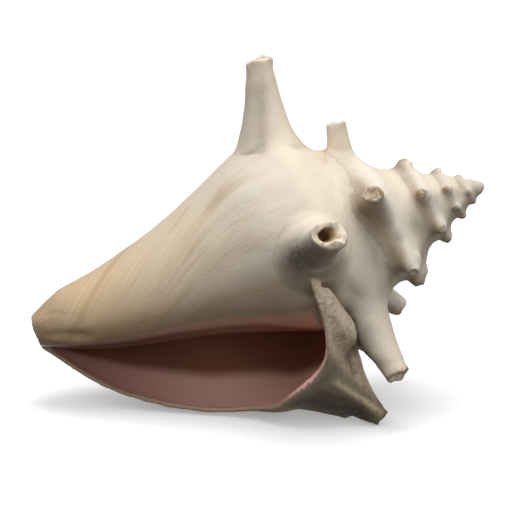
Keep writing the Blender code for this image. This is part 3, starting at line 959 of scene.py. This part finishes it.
def body_tone(g, clouds, grain):
    """The outside: growth streaks and bands, dirt and painted shade in the hollows, worn tips,
    painted light and shade on the spire, painted shade on what faces down and on the lip's lower
    part, and stains and painted shadow.
    """
    streak, along, x, turn = g.value("streak"), g.value("along"), g.value("x"), g.value("turn")
    hollow, reach, pit = g.value("hollow"), g.value("reach"), g.value("pit")
    stain_and_shadow_share = g.value("stain_and_shadow")
    streaks = g.place(g.times(streak, FINE_STREAKS), g.times(along, 5.0))
    streaks = g.noise(streaks, 1.0, 4.0, 0.65)
    bands = g.noise(g.place(g.times(streak, BROAD_BANDS), g.times(along, 3.0), 4.0), 1.0)
    low_part = g.fade(x, -0.1, 0.2, 0.15, 1.0)

    tone = g.mix(g.fade(along, 0.45, 0.95, 0.0, 0.75), CREAM, OCHRE)
    tone = g.mix(g.fade(along, 0.86, 1.0, 0.0, 0.5), tone, BROWN)
    tone = g.mix(g.fade(clouds, 0.42, 0.72, 0.0, 0.35), tone, WARM_CREAM)
    tone = g.mix(g.times(low_part, g.fade(bands, 0.52, 0.72, 0.0, 0.5)), tone, TAN)
    tone = g.mix(g.times(low_part, g.fade(streaks, 0.5, 0.78, 0.0, 0.45)), tone, TAN)
    tone = g.mix(g.fade(streaks, 0.46, 0.28, 0.0, 0.35), tone, CHALK)
    # Darker in the hollows, partly dirt and partly painted shade; chalky on the ridges
    tone = g.mix(g.fade(hollow, 0.12, 0.75, 0.0, 0.8), tone, DIRT_AND_SHADE)
    tone = g.mix(g.fade(hollow, -0.15, -0.8, 0.0, 0.5), tone, CHALK)

    # The spines' tips
    tip = g.times(g.fade(reach, 0.84, 1.0), g.fade(grain, 0.4, 0.6, 0.3, 0.9))
    tone = g.mix(tip, tone, WORN_TIP)
    tip_specks = g.times(g.fade(reach, 0.9, 1.0, 0.0, 0.55), g.fade(grain, 0.5, 0.62))
    tone = g.mix(tip_specks, tone, BROWN)

    # The spire, with painted light on its crests and painted shade below its keels, the valleys, the
    # open tube's hollow, and painted shade on what faces down
    tone = g.mix(g.times(g.value("crest"), 0.5), tone, CHALK)
    # Painted shade on the side below the keel
    keel_shade = g.times(g.value("keel_shade"), g.fade(clouds, 0.3, 0.7, 0.6, 0.9))
    tone = g.mix(keel_shade, tone, GREY_BROWN)
    tone = g.mix(g.times(g.value("worn"), g.fade(grain, 0.35, 0.65, 0.4, 0.9)), tone, BROWN)
    # Painted shade in the broad valleys, partly dirt
    tone = g.mix(g.fade(g.value("valley"), 0.2, 1.4, 0.0, 0.8), tone, DIRT_AND_SHADE)
    # Ochre in the open tube's hollow, turning brown deeper in as painted shade
    tone = g.mix(g.fade(pit, 0.02, 0.35, 0.0, 0.9), tone, OCHRE)
    tone = g.mix(g.fade(pit, 0.35, 0.95, 0.0, 0.9), tone, BROWN)
    # Painted shade on what faces down
    tone = g.mix(g.times(g.value("faces_down_shade"), 0.65), tone, DIRT_AND_SHADE)

    # The lip, with painted shade on its lower part, and the stain lines with their painted shadow
    tone = g.mix(g.fade(turn, *LIP_TURNS, 0.0, 0.3), tone, OCHRE)
    # Painted shade on the lip's lower part, in an olive tone
    lip_shade = g.times(g.value("lip_shade"), g.fade(clouds, 0.3, 0.7, 0.75, 1.0))
    tone = g.mix(lip_shade, tone, OLIVE_SHADE)
    patchy = g.fade(grain, 0.3, 0.7, 0.7, 1.0)
    # Stains and painted shadow along the stain lines, darkest where they are strongest
    tone = g.mix(g.times(g.math("MINIMUM", stain_and_shadow_share, 1.0), patchy), tone, STAIN_AND_SHADOW_BROWN)
    tone = g.mix(g.fade(stain_and_shadow_share, 0.9, 1.9, 0.0, 0.9), tone, DARK_STAIN_AND_SHADOW)
    tone = g.mix(g.times(g.value("rubbed"), 0.6), tone, WARM_CREAM)
    lip_specks = g.times(g.fade(turn, *LIP_TURNS, 0.0, 0.4), g.fade(grain, 0.5, 0.62))
    return g.mix(lip_specks, tone, DIRT_AND_SHADE)


def glaze_tone(g, clouds):
    """The inside of the mouth: pink at its edge, and dark brown further in, partly the glaze's colour
    and partly painted shadow cast by the body whorl.
    """
    along = g.value("along")
    pink = g.mix(g.fade(along, 0.55, 0.95), PINK, DUSKY_PINK)
    throat = g.mix(g.fade(along, 0.6, 0.8), DEEP_BROWN, DARK_BROWN)
    depth = g.math("ADD", g.value("depth"), g.times(g.math("SUBTRACT", clouds, 0.5), 0.02))
    # Past a set depth the pink turns dark brown; its sharp edge is painted shadow cast by the body
    # whorl
    return g.mix(g.fade(depth, 0.084, 0.116), pink, throat)


def fine_relief(g, grain):
    """Spiral threads, growth lines and grain, faint on the glaze."""
    x = g.value("x")
    threads = g.math("SINE", g.times(g.value("spiral"), 2 * math.pi * THREADS))
    threads = g.times(threads, g.fade(x, -0.12, 0.05, 0.07, 0.012))
    lines = g.place(g.times(g.value("streak"), GROWTH_LINES), g.times(g.value("along"), 6.0), 9.0)
    lines = g.times(g.noise(lines, 1.0, 2.0), g.fade(x, -0.1, 0.1, 0.45, 0.3))
    roughness = g.times(grain, g.fade(g.value("turn"), *LIP_TURNS, 0.5, 1.1))
    relief = g.math("ADD", g.math("ADD", threads, lines), roughness)
    return g.times(relief, g.fade(g.value("within"), 0.0, 1.0, 1.0, 0.1))


def shell_material():
    material = bpy.data.materials.new("shell")
    material.use_nodes = True
    g = Graph(material)
    shader = material.node_tree.nodes["Principled BSDF"]
    here = g.object_place()
    clouds = g.noise(here, 28.0, 4.0, 0.6)
    grain = g.noise(here, 700.0, 3.0, 0.6)
    within = g.value("within")

    tone = g.mix(within, body_tone(g, clouds, grain), glaze_tone(g, clouds))
    tone = g.mix(g.times(g.value("brow"), 0.75), tone, BROW_SHADE, "MULTIPLY")
    tone = g.mix(g.times(g.value("edge"), 0.7), tone, GREY_BROWN)
    g.set(shader.inputs["Base Color"], tone)
    g.set(shader.inputs["Roughness"], g.fade(within, 0.0, 1.0, 0.62, 0.32))
    shader.inputs["Specular IOR Level"].default_value = 0.4

    bump = g.nodes.new("ShaderNodeBump")
    bump.inputs["Strength"].default_value = 0.7
    bump.inputs["Distance"].default_value = 0.0004
    g.set(bump.inputs["Height"], fine_relief(g, grain))
    g.set(shader.inputs["Normal"], bump.outputs[0])
    return material


def add_floor():
    bpy.ops.mesh.primitive_plane_add(size=6.0, location=(0, 0, -0.0002))
    floor = bpy.context.object
    floor.name = "floor"
    material = bpy.data.materials.new("floor")
    material.use_nodes = True
    shader = material.node_tree.nodes["Principled BSDF"]
    shader.inputs["Base Color"].default_value = (0.86, 0.86, 0.86, 1.0)
    shader.inputs["Roughness"].default_value = 0.9
    shader.inputs["Emission Color"].default_value = (1.0, 1.0, 1.0, 1.0)
    shader.inputs["Emission Strength"].default_value = 0.3
    floor.data.materials.append(material)
    floor.visible_diffuse = False


def add_light(name, at, energy, size):
    lamp = bpy.data.lights.new(name, "AREA")
    lamp.energy = energy
    lamp.size = size
    ob = bpy.data.objects.new(name, lamp)
    bpy.context.scene.collection.objects.link(ob)
    ob.location = at
    ob.rotation_euler = (LIGHTS_AIM - Vector(at)).to_track_quat("-Z", "Y").to_euler()


def add_lights():
    add_light("key", (0.0, 0.05, 1.15), 6.5, 0.7)
    add_light("fill", (0.50, -1.30, 0.45), 3.9, 0.9)
    world = bpy.data.worlds.new("studio")
    bpy.context.scene.world = world
    bpy.context.scene.view_settings.view_transform = "Standard"
    world.use_nodes = True
    g = Graph(world)
    height = g.nodes.new("ShaderNodeSeparateXYZ")
    g.set(height.inputs[0], g.nodes.new("ShaderNodeTexCoord").outputs["Generated"])
    background = g.nodes["Background"]
    background.inputs["Color"].default_value = (1.0, 1.0, 1.0, 1.0)
    g.set(background.inputs["Strength"], g.fade(height.outputs["Z"], -0.35, 1.0, 0.01, 0.8))


def add_camera(shell):
    """The photograph's view, with the apex on its pixel and at the photograph's scale."""
    view = Matrix.Rotation(-VIEW_FALL, 4, "X") @ Matrix.Rotation(VIEW_ROLL, 4, "Y")
    half = IMAGE_SIDE / 2
    apex_in_view = Vector(
        ((APEX_PIXEL[0] - half) * MM_PER_PIXEL, 0.0, (half - APEX_PIXEL[1]) * MM_PER_PIXEL)
    )
    at = positions(shell.data)
    turn = np.array(resting_turn().to_3x3())
    s = at @ turn[:, 0]
    tip = at[s < s.min() + TIP_LENGTH * MM].mean(axis=0)
    apex = Vector(tip) - Vector(turn[:, 0]) * (tip @ turn[:, 0] - s.min())
    camera = bpy.data.objects.new("camera", bpy.data.cameras.new("camera"))
    bpy.context.scene.collection.objects.link(camera)
    camera.matrix_world = (
        Matrix.Translation(apex)
        @ view
        @ Matrix.Translation((Vector((0.0, -CAMERA_DISTANCE, 0.0)) - apex_in_view) * MM)
        @ Matrix.Rotation(math.pi / 2, 4, "X")
    )
    camera.data.sensor_width = SENSOR
    camera.data.lens = SENSOR * CAMERA_DISTANCE / (IMAGE_SIDE * MM_PER_PIXEL)
    bpy.context.scene.camera = camera


shell = build_shell()
shell.data.materials.clear()
shell.data.materials.append(shell_material())
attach(shell, "root")
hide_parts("shell")
add_floor()
add_lights()
add_camera(shell)
